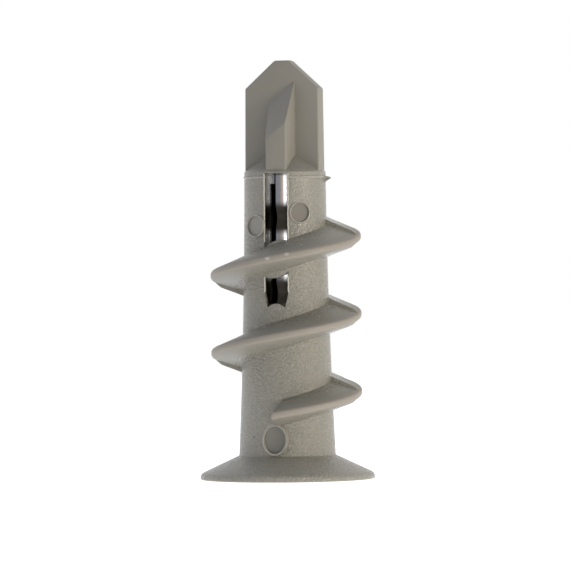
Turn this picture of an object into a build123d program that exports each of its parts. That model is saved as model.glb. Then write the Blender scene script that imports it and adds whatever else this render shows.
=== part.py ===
from build123d import *
import os
from math import acos, asin, ceil, cos, pi, radians, sqrt, tan

# Sizes are in millimetres. The anchor stands on the flat of its head with the
# drill tip up, and the origin is the centre of that flat. The windowed front
# is towards -Y, and the two halves of the mould meet on the XZ plane.

# Head flange
head_diameter = 17.5
head_rim_height = 0.56
head_cone_angle = 25.2
head_foot_radius = 0.15
head_rim_radius = 0.6

# Core, tapered from the neck to the shoulder along a slightly hollow curve
neck_diameter = 9.68
core_length = 28.28
core_top_diameter = 8.14
core_hollow = 0.15
shoulder_angle = 36.5

# Coarse plasterboard thread
thread_diameter = 15.06
thread_lead = 7.75
thread_turns = 2.5
thread_start_rise = 4.08
thread_crest_land = 0.45
thread_upper_angle = 20.9
thread_lower_angle = 17.1
thread_end_lean = 10.4
thread_end_turn = 3.4
thread_end_offset = 0.67

# Release flats on the thread, where each mould half fills its undercut beside the parting plane
flat_length = 2.3
flat_lift = 0.05
flat_base_rise = 0.19
flat_crest_inset = 0.5
flat_edge_inset = 0.05

# Flat cutting blade of the drill tip
tip_length = 11.15
blade_width = 7.7
blade_thickness = 2.36
blade_side_draft = 0.4
blade_face_draft = 2.5
blade_bevel_angle = 42.7
blade_apex_width = 1.44
blade_corner_radius = 0.25

# Cross ribs on the two faces of the blade
rib_front_width = 2.05
rib_root_width = 2.7
rib_inset = 0.25
rib_cut_drop = 2.1
rib_cut_side_angle = 39.0
rib_cut_front_angle = 55.9

# Rolled steel sleeve, moulded in
sleeve_diameter = 6.0
sleeve_wall = 0.4
sleeve_length = 16.43
sleeve_top_drop = 0.25
sleeve_slit_width = 0.55
sleeve_slit_angle = 9.4
sleeve_tab_height = 0.9
sleeve_tab_gap = 0.16
sleeve_waist_depth = 0.3
sleeve_waist_length = 2.6
sleeve_waist_pitch = 7.45
sleeve_upper_waist_drop = 4.35
sleeve_clearance = 0.02
sleeve_end_clearance = 0.1

# Windows over the sleeve, with the thread bridging them
window_width = 2.5
window_length = 13.35
window_end_bulge = 0.38
window_toe_length = 1.5
window_toe_inset = 0.3
bridge_lower_margin = 0.12
bridge_upper_inset = 0.4

# Screw bore and cross drive recess
bore_diameter = 4.5
recess_depth = 7.6
recess_span = 7.2
recess_wing_width = 1.7
recess_run_out = 0.3

# Ejector marks, each a flat disc inside a thin raised lip
pad_diameter = 2.0
pad_lip_width = 0.1
pad_lip_height = 0.18
left_pad_angle = 32.4
left_pad_drop = 5.4
right_pad_angle = 36.0
right_pad_drop = 4.05
lower_pad_width = 2.25
lower_pad_height = 2.6
lower_pad_rise = 1.58
lower_pad_lip_width = 0.2
lower_pad_lip_height = 0.36

# Flash nib on the parting line
nib_drop = 0.35
nib_length = 0.85
nib_reach = 0.68
nib_tip_drop = 0.3
nib_thickness = 0.3

# Values that follow from the sizes above
head_radius = head_diameter / 2
neck_radius = neck_diameter / 2
core_top_radius = core_top_diameter / 2
flange_height = head_rim_height + (head_radius - neck_radius) * tan(radians(head_cone_angle))
core_height = flange_height + core_length
shoulder_apex_height = core_height + core_top_radius * tan(radians(shoulder_angle))
tip_height = core_height + tip_length

sleeve_radius = sleeve_diameter / 2
sleeve_bore_radius = sleeve_radius - sleeve_wall
sleeve_top_height = core_height - sleeve_top_drop
sleeve_bottom_height = sleeve_top_height - sleeve_length
upper_waist_height = sleeve_top_height - sleeve_upper_waist_drop
lower_waist_height = upper_waist_height - sleeve_waist_pitch
pocket_radius = sleeve_radius + sleeve_clearance
pocket_top_height = sleeve_top_height + sleeve_end_clearance
bore_radius = bore_diameter / 2

# The thread is rooted halfway through the wall around the sleeve
thread_radius = thread_diameter / 2
thread_root_radius = (pocket_radius + core_top_radius) / 2
thread_depth = thread_radius - thread_root_radius
thread_start_height = flange_height + thread_start_rise
thread_upper_rise = thread_crest_land / 2 + thread_depth * tan(radians(thread_upper_angle))
thread_lower_rise = thread_crest_land / 2 + thread_depth * tan(radians(thread_lower_angle))

# Two turns up, the thread crosses the front and parts the windows
window_bottom_height = pocket_top_height - window_length
bridge_height = thread_start_height + 2 * thread_lead
bridge_bottom_height = bridge_height - thread_lower_rise - bridge_lower_margin
bridge_top_height = bridge_height + thread_upper_rise - bridge_upper_inset

blade_top_half_width = blade_width / 2 - tip_length * tan(radians(blade_side_draft))
blade_bevel_drop = (blade_top_half_width - blade_apex_width / 2) * tan(radians(blade_bevel_angle))
rib_reach = core_top_radius - rib_inset


def core_radius_at(height):
    """Radius of the core's hollow curve at a height between the neck and the shoulder."""
    share = (height - flange_height) / core_length
    straight_taper = neck_radius + (core_top_radius - neck_radius) * share
    return straight_taper - 4 * core_hollow * share * (1 - share)


def highest_rise(reach, flank_angle):
    """Height of a flank's highest point over the crest line, on a line along Y at a distance from the axis."""
    steepness = thread_lead / (2 * pi * reach * tan(radians(flank_angle)))
    steepest_turn = asin((sqrt(1 + 4 * steepness ** 2) - 1) / (2 * steepness))
    turn = min(steepest_turn, acos(reach / thread_radius))
    flank_drop = (reach / cos(turn) - thread_radius) * tan(radians(flank_angle))
    return thread_lead * turn / (2 * pi) + thread_crest_land / 2 - flank_drop


def facing_plane(angle, depth, height):
    """Plane that faces outwards, turned from the front towards +X by an angle."""
    return Plane(
        origin=Vector(0, -depth, height).rotate(Axis.Z, angle),
        x_dir=Vector(1, 0, 0).rotate(Axis.Z, angle),
        z_dir=Vector(0, -1, 0).rotate(Axis.Z, angle),
    )


# Coarse right-hand thread, swept turn by turn from the front of its lowest turn
with BuildPart() as thread:
    for turn in range(ceil(thread_turns)):
        turn_height = thread_start_height + turn * thread_lead
        turn_path = Helix(
            pitch=thread_lead,
            height=thread_lead * min(1, thread_turns - turn),
            radius=thread_root_radius,
            center=(0, 0, turn_height),
        ).rotate(Axis.Z, -90)
        with BuildPart():
            with BuildSketch(Plane(origin=(0, 0, turn_height), x_dir=(0, -1, 0), z_dir=(-1, 0, 0))):
                with BuildLine():
                    Polyline(
                        (thread_root_radius, -thread_lower_rise),
                        (thread_radius, -thread_crest_land / 2),
                        (thread_radius, thread_crest_land / 2),
                        (thread_root_radius, thread_upper_rise),
                        close=True,
                    )
                make_face()
            sweep(path=turn_path, is_frenet=True)

    # Blunt lower end, cut off at the front by a leaning plane
    end_reach = thread_upper_rise + thread_crest_land
    end_shift = end_reach * tan(radians(thread_end_lean))
    with BuildSketch(facing_plane(-thread_end_turn, 0, thread_start_height)):
        with BuildLine():
            Polyline(
                (-thread_radius, -end_reach),
                (thread_end_offset - end_shift, -end_reach),
                (thread_end_offset + end_shift, end_reach),
                (-thread_radius, end_reach),
                close=True,
            )
        make_face()
    extrude(amount=thread_diameter, mode=Mode.SUBTRACT)

    # Two release flats at each crossing of the parting plane, one above the thread and one below
    flat_reach = thread_radius - flat_crest_inset
    for crossing in range(int(2 * thread_turns)):
        outward = (-1) ** crossing
        crossing_height = thread_start_height + (2 * crossing + 1) * thread_lead / 4
        for upward, flank_angle in ((1, thread_upper_angle), (-1, thread_lower_angle)):
            crossing_plane = Plane(
                origin=(0, 0, crossing_height),
                x_dir=(outward, 0, 0),
                z_dir=(0, -outward * upward, 0),
            )
            core_rise = highest_rise(core_top_radius, flank_angle) + flat_lift
            crest_rise = highest_rise(flat_reach, flank_angle) + flat_lift
            flat_slope = (core_rise - crest_rise) / (flat_reach - core_top_radius)
            root_rise = core_rise + (core_top_radius - thread_root_radius) * flat_slope
            with BuildPart():
                with BuildSketch(crossing_plane):
                    with BuildLine():
                        Polyline(
                            (thread_root_radius, flat_base_rise),
                            (thread_root_radius, root_rise),
                            (flat_reach, crest_rise),
                            (thread_radius, thread_crest_land / 2 + flat_lift),
                            (thread_radius, flat_base_rise),
                            close=True,
                        )
                    make_face()
                extrude(amount=-flat_length)
                with BuildSketch(Plane.XY):
                    Circle(thread_radius - flat_edge_inset)
                extrude(amount=core_height, mode=Mode.INTERSECT)

# One-piece nylon moulding: head, core, thread and cross-shaped drill tip
with BuildPart() as anchor_body:
    # Front cross rib, cut off by one plane that leans back and to the side
    with BuildSketch(Plane.XY.offset(core_height)):
        with BuildLine():
            Polyline(
                (-rib_front_width / 2, -rib_reach),
                (rib_front_width / 2, -rib_reach),
                (rib_root_width / 2, -blade_thickness / 2),
                (rib_root_width / 2, -blade_thickness / 4),
                (-rib_root_width / 2, -blade_thickness / 4),
                (-rib_root_width / 2, -blade_thickness / 2),
                close=True,
            )
        make_face()
    extrude(amount=tip_length)
    rib_cut_plane = Plane(
        origin=(rib_root_width / 2, -blade_thickness / 2, tip_height - rib_cut_drop),
        z_dir=(-tan(radians(rib_cut_side_angle)), -tan(radians(rib_cut_front_angle)), 1),
    )
    split(bisect_by=rib_cut_plane, keep=Keep.BOTTOM)

    # Back rib, the same half a turn round
    add(anchor_body.part.rotate(Axis.Z, 180))

    # Blade with its roof-shaped point, drafted from the parting plane both ways
    with BuildSketch(Plane.XZ) as blade_outline:
        with BuildLine():
            Polyline(
                (-blade_width / 2, core_height),
                (-blade_top_half_width, tip_height - blade_bevel_drop),
                (-blade_apex_width / 2, tip_height),
                (blade_apex_width / 2, tip_height),
                (blade_top_half_width, tip_height - blade_bevel_drop),
                (blade_width / 2, core_height),
                close=True,
            )
        make_face()
        fillet(blade_outline.vertices().sort_by(Axis.Y)[2:], radius=blade_corner_radius)
    extrude(amount=blade_thickness / 2, both=True, taper=blade_face_draft)

    # Head flange, tapered core and shoulder cone in one turned outline
    with BuildSketch(Plane.XZ) as turned_outline:
        with BuildLine():
            Polyline(
                (0, shoulder_apex_height),
                (0, 0),
                (head_radius, 0),
                (head_radius, head_rim_height),
                (neck_radius, flange_height),
            )
            Bezier(
                (neck_radius, flange_height),
                ((neck_radius + core_top_radius) / 2 - 2 * core_hollow, flange_height + core_length / 2),
                (core_top_radius, core_height),
            )
            Line((core_top_radius, core_height), (0, shoulder_apex_height))
        make_face()
        rim_foot = turned_outline.vertices().group_by(Axis.X)[-1].sort_by(Axis.Y)[0]
        fillet(rim_foot, radius=head_foot_radius)
        rim_top = turned_outline.vertices().group_by(Axis.X)[-1].sort_by(Axis.Y)[-1]
        fillet(rim_top, radius=head_rim_radius)
    revolve(axis=Axis.Z)

    # Coarse thread with its release flats
    add(thread.part)

    # Flash nib where the mould halves meet
    with BuildSketch(Plane.XZ):
        with BuildLine():
            Polyline(
                (core_top_radius - nib_reach, core_height - nib_drop),
                (core_top_radius, core_height - nib_drop),
                (core_top_radius + nib_reach, core_height - nib_drop - nib_tip_drop),
                (core_top_radius, core_height - nib_drop - nib_length),
                (core_top_radius - nib_reach, core_height - nib_drop - nib_length),
                close=True,
            )
        make_face()
    extrude(amount=nib_thickness / 2, both=True)

    # Ejector marks: the raised lip, then the flat disc sunk inside it
    pads = (
        (-left_pad_angle, core_height - left_pad_drop, pad_diameter, pad_diameter, pad_lip_width, pad_lip_height),
        (right_pad_angle, core_height - right_pad_drop, pad_diameter, pad_diameter, pad_lip_width, pad_lip_height),
        (
            0,
            flange_height + lower_pad_rise,
            lower_pad_width,
            lower_pad_height,
            lower_pad_lip_width,
            lower_pad_lip_height,
        ),
    )
    for angle, height, width, tallness, lip_width, lip_height in pads:
        face_depth = (core_radius_at(height) ** 2 - (width / 2) ** 2) ** 0.5
        lip_depth = face_depth + lip_height
        with BuildSketch(facing_plane(angle, lip_depth, height)):
            Ellipse(width / 2 + lip_width, tallness / 2 + lip_width)
        extrude(amount=-(lip_depth - pocket_radius))
        with BuildSketch(facing_plane(angle, face_depth, height)):
            Ellipse(width / 2, tallness / 2)
        extrude(amount=neck_radius, mode=Mode.SUBTRACT)

    # Lower window, drawn in at its foot, with both ends bulging into the opening
    foot_half_width = window_width / 2 - window_toe_inset
    with BuildSketch(Plane.XZ):
        with BuildLine():
            Polyline(
                (foot_half_width, window_bottom_height),
                (window_width / 2, window_bottom_height + window_toe_length),
                (window_width / 2, bridge_bottom_height),
            )
            ThreePointArc(
                (window_width / 2, bridge_bottom_height),
                (0, bridge_bottom_height - window_end_bulge),
                (-window_width / 2, bridge_bottom_height),
            )
            Polyline(
                (-window_width / 2, bridge_bottom_height),
                (-window_width / 2, window_bottom_height + window_toe_length),
                (-foot_half_width, window_bottom_height),
            )
            ThreePointArc(
                (-foot_half_width, window_bottom_height),
                (0, window_bottom_height + window_end_bulge),
                (foot_half_width, window_bottom_height),
            )
        make_face()
    extrude(amount=neck_radius, mode=Mode.SUBTRACT)

    # Upper window, from the bridge to the top of the sleeve's pocket
    with BuildSketch(Plane.XZ):
        with BuildLine():
            Polyline(
                (window_width / 2, bridge_top_height),
                (window_width / 2, pocket_top_height),
                (-window_width / 2, pocket_top_height),
                (-window_width / 2, bridge_top_height),
            )
            ThreePointArc(
                (-window_width / 2, bridge_top_height),
                (0, bridge_top_height + window_end_bulge),
                (window_width / 2, bridge_top_height),
            )
        make_face()
    extrude(amount=neck_radius, mode=Mode.SUBTRACT)

    # Pocket round the sleeve, and the screw bore below it
    with BuildSketch(Plane.XY.offset(sleeve_bottom_height)):
        Circle(pocket_radius)
    extrude(amount=pocket_top_height - sleeve_bottom_height, mode=Mode.SUBTRACT)
    with BuildSketch(Plane.XY):
        Circle(bore_radius)
    extrude(amount=sleeve_bottom_height, mode=Mode.SUBTRACT)

    # Cross drive recess, two crossed wings that run out into the bore
    for wing_plane in (Plane.XZ, Plane.YZ):
        with BuildSketch(wing_plane):
            with BuildLine():
                Polyline(
                    (-recess_span / 2, 0),
                    (recess_span / 2, 0),
                    (bore_radius - recess_run_out, recess_depth),
                    (recess_run_out - bore_radius, recess_depth),
                    close=True,
                )
            make_face()
        extrude(amount=recess_wing_width / 2, both=True, mode=Mode.SUBTRACT)

# Rolled steel sleeve, waisted twice, with a slit that a tab narrows at the top
with BuildPart() as steel_sleeve:
    with BuildSketch(Plane.XZ):
        with BuildLine():
            for radius in (sleeve_bore_radius, sleeve_radius):
                Line(
                    (radius, sleeve_bottom_height),
                    (radius, lower_waist_height - sleeve_waist_length / 2),
                )
                Line(
                    (radius, lower_waist_height + sleeve_waist_length / 2),
                    (radius, upper_waist_height - sleeve_waist_length / 2),
                )
                Line(
                    (radius, upper_waist_height + sleeve_waist_length / 2),
                    (radius, sleeve_top_height),
                )
                for waist_height in (lower_waist_height, upper_waist_height):
                    ThreePointArc(
                        (radius, waist_height - sleeve_waist_length / 2),
                        (radius - sleeve_waist_depth, waist_height),
                        (radius, waist_height + sleeve_waist_length / 2),
                    )
            for end_height in (sleeve_bottom_height, sleeve_top_height):
                Line((sleeve_bore_radius, end_height), (sleeve_radius, end_height))
        make_face()
    revolve(axis=Axis.Z)

    # Slit along the whole sleeve, narrow beside the tab
    with BuildSketch(facing_plane(-sleeve_slit_angle, 0, sleeve_top_height)):
        with Locations((0, -sleeve_tab_height)):
            Rectangle(
                sleeve_slit_width,
                sleeve_length - sleeve_tab_height,
                align=(Align.CENTER, Align.MAX),
            )
        with Locations((sleeve_slit_width / 2, 0)):
            Rectangle(sleeve_tab_gap, sleeve_length, align=(Align.MAX, Align.MAX))
    extrude(amount=sleeve_diameter, mode=Mode.SUBTRACT)

os.makedirs("parts", exist_ok=True)
anchor_body.part.label = "anchor_body"
export_step(anchor_body.part, "parts/anchor_body.step")
steel_sleeve.part.label = "steel_sleeve"
export_step(steel_sleeve.part, "parts/steel_sleeve.step")
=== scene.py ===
"""Looks of a self-drilling plasterboard anchor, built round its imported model.

The anchor is a grey nylon moulding with a coarse thread and a cross-shaped
drill tip. A rolled steel sleeve shows through two windows in its core.
Lengths are given in millimetres and turned to metres where meshes are made.
"""

import logging
import math
from collections.abc import Callable
from dataclasses import dataclass
from enum import Enum
from functools import partial
from typing import ClassVar

import bmesh
import bpy
from mathutils import Matrix, Quaternion, Vector


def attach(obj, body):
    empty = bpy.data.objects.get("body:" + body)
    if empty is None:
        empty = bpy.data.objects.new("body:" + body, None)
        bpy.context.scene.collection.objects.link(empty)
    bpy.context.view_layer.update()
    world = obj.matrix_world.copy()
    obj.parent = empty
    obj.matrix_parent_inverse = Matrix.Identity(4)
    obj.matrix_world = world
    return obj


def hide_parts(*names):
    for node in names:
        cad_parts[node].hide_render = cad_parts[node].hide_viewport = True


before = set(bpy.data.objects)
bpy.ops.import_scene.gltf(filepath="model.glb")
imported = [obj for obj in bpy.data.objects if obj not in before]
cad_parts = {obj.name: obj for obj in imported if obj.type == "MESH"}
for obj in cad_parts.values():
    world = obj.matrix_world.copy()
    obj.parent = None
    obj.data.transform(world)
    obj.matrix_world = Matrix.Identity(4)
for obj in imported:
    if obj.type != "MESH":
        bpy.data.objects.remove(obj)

Material = bpy.types.Material
Piece = bpy.types.Object
Socket = bpy.types.NodeSocket
Tree = bpy.types.NodeTree
Pair = tuple[float, float]

MM = 0.001
BODY = "root"
LOG = logging.getLogger("anchor")
MATH, VECTOR, BLEND = "ShaderNodeMath", "ShaderNodeVectorMath", "ShaderNodeMix"
RAMP, NOISE = "ShaderNodeMapRange", "ShaderNodeTexNoise"
SPLIT, COMBINE = "ShaderNodeSeparateXYZ", "ShaderNodeCombineXYZ"
NYLON_IOR = 1.53
SHARP_ANGLE = math.radians(32)  # Edges that turn more than this are shaded sharp
OVERSHOOT = 1.0  # How far a cutter reaches past the end that it opens


def linear(hex_colour: str) -> tuple[float, float, float, float]:
    """Turns an sRGB hex colour to linear RGBA.

    Args:
        hex_colour: Six hex digits with a leading hash.

    Returns:
        Linear red, green, blue and an alpha of one.
    """
    channels = [int(hex_colour[i : i + 2], 16) / 255 for i in (1, 3, 5)]
    red, green, blue = [
        c / 12.92 if c <= 0.04045 else ((c + 0.055) / 1.055) ** 2.4 for c in channels
    ]
    return red, green, blue, 1.0


def plug(tree: Tree, node: bpy.types.Node, inputs: dict[int | str, object]) -> None:
    """Gives a node's inputs their constants and links.

    Args:
        tree: Node tree that holds the node.
        node: The node.
        inputs: Input sockets by name or index, each a constant or an output socket.
    """
    for name, value in inputs.items():
        if isinstance(value, Socket):
            tree.links.new(value, node.inputs[name])
        else:
            node.inputs[name].default_value = value


def add(
    tree: Tree,
    kind: str,
    *values: object,
    inputs: dict[str, object] | None = None,
    output: int | str = 0,
    **settings: object,
) -> Socket:
    """Adds a node to a tree with its settings, constants and links.

    Args:
        tree: Node tree that gets the node.
        kind: Blender's name for the node's type.
        *values: First inputs in their order, each a constant or an output socket.
        inputs: Other inputs by name.
        output: Name or index of the output that is wanted.
        **settings: Properties of the node.

    Returns:
        The wanted output socket of the new node.
    """
    node = tree.nodes.new(kind)
    for name, value in settings.items():
        setattr(node, name, value)
    plug(tree, node, dict(enumerate(values)) | (inputs or {}))
    return node.outputs[output]


def between(low: float, high: float, start: float = 0.0, end: float = 1.0) -> dict[str, float]:
    """Gives the limits of a ramp between two lengths, from a start value to an end value."""
    return {"From Min": low * MM, "From Max": high * MM, "To Min": start, "To Max": end}


def distance(
    tree: Tree,
    place: Socket,
    centre: tuple[float, float, float] = (0, 0, 0),
    squeeze: tuple[float, float, float] = (1, 1, 1),
) -> Socket:
    """Measures how far a place is from a centre.

    Args:
        tree: Node tree that gets the nodes.
        place: The place.
        centre: The centre, in millimetres.
        squeeze: Share of the distance along each axis that counts.

    Returns:
        The distance in metres.
    """
    offset = add(tree, VECTOR, place, Vector(centre) * MM, operation="SUBTRACT")
    squeezed = add(tree, VECTOR, offset, squeeze, operation="MULTIPLY")
    return add(tree, VECTOR, squeezed, output="Value", operation="LENGTH")


def new_material(name: str) -> tuple[Material, Tree, Socket]:
    """Starts a node material on Object coordinates.

    Args:
        name: Name of the material.

    Returns:
        The material, its tree and the socket of its Object coordinates.
    """
    material = bpy.data.materials.new(name)
    material.use_nodes = True
    tree = material.node_tree
    return material, tree, add(tree, "ShaderNodeTexCoord", output="Object")


def new_piece(name: str, data: bpy.types.ID) -> Piece:
    """Puts a mesh, lamp or camera into the scene as an object at the origin.

    Args:
        name: Name of the object.
        data: What the object shows.

    Returns:
        The new object.
    """
    piece = bpy.data.objects.new(name, data)
    bpy.context.scene.collection.objects.link(piece)
    return piece


def modified(
    piece: Piece, kind: str, inputs: dict[str, object] | None = None, **settings: object
) -> Piece:
    """Runs a modifier on a piece and keeps the result as plain mesh.

    Args:
        piece: Piece that is changed.
        kind: Blender's name for the modifier's type.
        inputs: A node tree's inputs by socket identifier.
        **settings: Settings of the modifier.

    Returns:
        The piece.
    """
    modifier = piece.modifiers.new(kind.lower(), kind)
    for name, value in settings.items():
        setattr(modifier, name, value)
    for identifier, value in (inputs or {}).items():
        modifier[identifier] = value
    bpy.context.view_layer.update()
    graph = bpy.context.evaluated_depsgraph_get()
    mesh = bpy.data.meshes.new_from_object(piece.evaluated_get(graph), depsgraph=graph)
    piece.modifiers.clear()
    piece.data = mesh
    return piece


def spaced(low: float, high: float, runs: int) -> list[float]:
    """Gives evenly spaced values from low to high, both included."""
    return [low + (high - low) * i / runs for i in range(runs + 1)]


def oblong(left: float, right: float, low: float, high: float) -> list[Pair]:
    """Gives the four corners of a rectangle in order."""
    return [(left, low), (right, low), (right, high), (left, high)]


def rounded(
    corners: list[Pair], radii: list[float], steps: int, closed: bool = True
) -> list[Pair]:
    """Rounds the corners of a flat outline.

    Args:
        corners: Corner points in order.
        radii: Radius at each corner, zero for a sharp one.
        steps: Runs in each rounded corner.
        closed: Whether the outline closes on itself.

    Returns:
        Points of the rounded outline.
    """
    points = []
    count = len(corners)
    for i, (corner, radius) in enumerate(zip(corners, radii)):
        here = Vector(corner)
        if radius == 0 or (not closed and i in (0, count - 1)):
            points.append(tuple(here))
            continue
        back = (Vector(corners[i - 1]) - here).normalized()
        ahead = (Vector(corners[(i + 1) % count]) - here).normalized()
        half = back.angle(ahead) / 2
        centre = here + (back + ahead).normalized() * (radius / math.sin(half))
        first = here + back * (radius / math.tan(half)) - centre
        last = here + ahead * (radius / math.tan(half)) - centre
        turns = spaced(0, -first.angle_signed(last), steps)
        points += [tuple(centre + Matrix.Rotation(turn, 2) @ first) for turn in turns]
    return points


def loft(sections: list[list], closed: bool = False) -> bmesh.types.BMesh:
    """Joins sections of equal point counts into a closed shape.

    Args:
        sections: Closed outlines in order, each a list of points in space. An end
            section may be a single point.
        closed: Whether the last section joins the first, in place of flat ends.

    Returns:
        The shape, in millimetres.
    """
    shape = bmesh.new()
    loops = [[shape.verts.new(point) for point in section] for section in sections]
    count = max(len(loop) for loop in loops)
    for near, far in zip(loops, loops[1:] + loops[:1] if closed else loops[1:]):
        for i in range(count):
            here, after = (near[i % len(near)], far[i % len(far)]), i + 1
            face = (here[0], near[after % len(near)], far[after % len(far)], here[1])
            shape.faces.new(list(dict.fromkeys(face)))
    for end in [] if closed else (loops[0], loops[-1]):
        if len(end) > 1:
            shape.faces.new(end)
    return shape


def solid(name: str, shape: bmesh.types.BMesh) -> Piece:
    """Turns a closed shape in millimetres into an object in metres, faces outwards.

    Args:
        name: Name of the object.
        shape: The closed shape, which is freed.

    Returns:
        The new object.
    """
    bmesh.ops.recalc_face_normals(shape, faces=shape.faces)
    bmesh.ops.scale(shape, vec=(MM, MM, MM), verts=shape.verts)
    mesh = bpy.data.meshes.new(name)
    shape.to_mesh(mesh)
    shape.free()
    return new_piece(name, mesh)


def turned(name: str, profile: list[Pair], segments: int) -> Piece:
    """Turns a profile round the Z axis into a closed solid.

    Args:
        name: Name of the object.
        profile: Radius and height of each point, from one end of the axis to the other.
        segments: Faces round the axis.

    Returns:
        The solid.
    """
    around = spaced(0, math.tau, segments)[:-1]
    rings = [
        [(radius * math.cos(turn), radius * math.sin(turn), height) for turn in around]
        if radius
        else [(0, 0, height)]
        for radius, height in profile
    ]
    return solid(name, loft(rings))


@dataclass(frozen=True)
class MarkOrShadeSpot:
    """Small mark on the nylon, or a spot of painted shade, round or drawn out upwards."""

    place: tuple[float, float, float]
    radius: float
    height_ratio: float
    colour: str


@dataclass(frozen=True)
class SparkErodedNylon:
    """Warm grey nylon, injection moulded in a spark-eroded mould.

    The mould's fine craters give the core and head a dry, sparkling grain,
    while the blade, the ejector marks and the thread's crests were polished
    and look smoother. Their darker colour is painted shade, the crest band
    and each ejector disc get a painted shade of their own, and the lips and
    the seam bead get a paler painted highlight. Real craters are up to 0.1 mm
    across. They are drawn at 0.2 mm, because finer ones don't show in the render.
    """

    colour: str = "#878275"
    pit_colour: str = "#7A766A"
    # Painted shade: darker colour of the polished blade, thread and ejector pins
    polished_colour: str = "#7F7A6F"
    # Painted shade: brownish band on the thread's rounded crest
    crest_colour: str = "#877F73"
    # Painted highlight: paler colour of the raised lips and the seam bead
    flash_colour: str = "#989287"
    roughness: float = 0.23
    polished_roughness: float = 0.6
    crater_width: float = 0.2
    crater_depth: float = 0.18
    pit_levels: Pair = (0.35, 0.6)
    grain_heights: Pair = (12.0, 26.0)
    upper_grain: float = 0.55
    polish_loss: float = 0.85
    edge_radius: float = 0.09
    thread_polish: Pair = (4.9, 7.3)
    crest_edge: Pair = (6.9, 7.5)
    head_top: Pair = (3.2, 3.4)
    blade_foot: Pair = (30.7, 31.0)
    seam_height: float = 30.13
    seam_edge: Pair = (0.12, 0.06)
    lip_reach: float = 1.15
    blemish_core: float = 0.4
    blemishes: tuple[MarkOrShadeSpot, ...] = (
        MarkOrShadeSpot((0.0, -7.53, 22.05), 0.3, 0.7, "#ADA699"),
        MarkOrShadeSpot((1.91, -7.28, 22.5), 0.3, 0.7, "#ADA699"),
        MarkOrShadeSpot((2.97, -5.56, 23.5), 0.16, 2.2, "#BDB8AE"),
        MarkOrShadeSpot((7.16, -0.77, 24.7), 0.22, 1.0, "#4A443C"),
        MarkOrShadeSpot((7.46, -0.72, 7.94), 0.16, 1.0, "#4A443C"),
        MarkOrShadeSpot((-2.36, -4.1, 4.33), 0.16, 1.3, "#5A564F"),
        MarkOrShadeSpot((2.43, -3.42, 25.35), 0.13, 2.4, "#B8B2A6"),
        MarkOrShadeSpot((1.55, -3.83, 29.1), 0.1, 1.3, "#5A564F"),
        # Painted shade: two dark slivers where the left parting line lies in shadow
        MarkOrShadeSpot((-3.98, -0.9, 29.6), 0.22, 1.7, "#45413B"),
        MarkOrShadeSpot((-3.98, -0.9, 27.1), 0.22, 2.7, "#45413B"),
    )

    def material(self, marks: list["EjectorMark"]) -> Material:
        """Builds the nylon's material.

        Args:
            marks: Ejector marks, each a smooth disc in a pale lip.

        Returns:
            A node material on Object coordinates.
        """
        material, tree, place = new_material("spark_eroded_grey_nylon")
        node = partial(add, tree)
        height = node(SPLIT, place, output="Z")
        radius = distance(tree, place, squeeze=(1, 1, 0))

        # How polished the mould was on the thread, the blade and the ejector pins
        above_head, on_blade = [
            node(RAMP, height, inputs=between(*edge)) for edge in (self.head_top, self.blade_foot)
        ]
        on_thread, crest_shade_band = [
            node(MATH, node(RAMP, radius, inputs=between(*edge)), above_head, operation="MULTIPLY")
            for edge in (self.thread_polish, self.crest_edge)
        ]
        polish = node(MATH, on_thread, on_blade, operation="MAXIMUM")
        lips, disc_shades = 0.0, []
        for mark in marks:
            squeeze = (1, 1, mark.half_width / mark.half_height)
            gap = distance(tree, place, mark.centre(), squeeze)
            inner, outer = mark.half_width, mark.half_width + mark.lip_width * self.lip_reach
            pin, lip_start, lip_end, disc = [
                node(RAMP, gap, inputs=between(*edge))
                for edge in (
                    (outer + 0.04, outer - 0.04),  # Soft edges, in millimetres
                    (inner - 0.03, inner + 0.03),
                    (outer + 0.05, outer - 0.02),
                    (inner + 0.02, inner - 0.02),
                )
            ]
            polish = node(MATH, polish, pin, operation="MAXIMUM")
            ring = node(MATH, lip_start, lip_end, operation="MULTIPLY")
            lips = node(MATH, lips, ring, operation="MAXIMUM")
            disc_shades.append((disc, mark.face_colour))

        # Grain that the craters left, fainter towards the tip and where it is polished
        scale = {"Scale": 1 / (self.crater_width * MM), "Detail": 3.0, "Distortion": 0.4}
        craters = node(NOISE, place, inputs=scale)
        grain = node(RAMP, height, inputs=between(*self.grain_heights, 1.0, self.upper_grain))
        kept = node(MATH, polish, -self.polish_loss, 1.0, operation="MULTIPLY_ADD")
        relief = {
            "Strength": node(MATH, grain, kept, operation="MULTIPLY"),
            "Distance": self.crater_depth * MM,
            "Height": craters,
            "Normal": node("ShaderNodeBevel", samples=6, inputs={"Radius": self.edge_radius * MM}),
        }

        # Colours laid over the pits' colour, each with its share. The polished, crest and disc
        # colours are painted shade, and the lips' and seam's colour is a painted highlight.
        low, high = self.pit_levels
        off_seam = node(MATH, height, self.seam_height * MM, operation="SUBTRACT")
        off_seam = node(MATH, off_seam, operation="ABSOLUTE")
        # Painted highlight along the seam bead, joined to the lips
        seam = node(RAMP, off_seam, inputs=between(*self.seam_edge))
        lips = node(MATH, lips, seam, operation="MAXIMUM")
        layers = [
            (node(RAMP, craters, inputs={"From Min": low, "From Max": high}), self.colour),
            (polish, self.polished_colour),
            (crest_shade_band, self.crest_colour),
            (lips, self.flash_colour),
            *disc_shades,
        ]
        for spot in self.blemishes:
            gap = distance(tree, place, spot.place, (1, 1, 1 / spot.height_ratio))
            edge = between(spot.radius, spot.radius * self.blemish_core)
            layers.append((node(RAMP, gap, inputs=edge), spot.colour))
        colour = linear(self.pit_colour)
        for share, tone in layers:
            pair = {"A": colour, "B": linear(tone)}
            colour = node(BLEND, share, inputs=pair, output="Result", data_type="RGBA")

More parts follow.
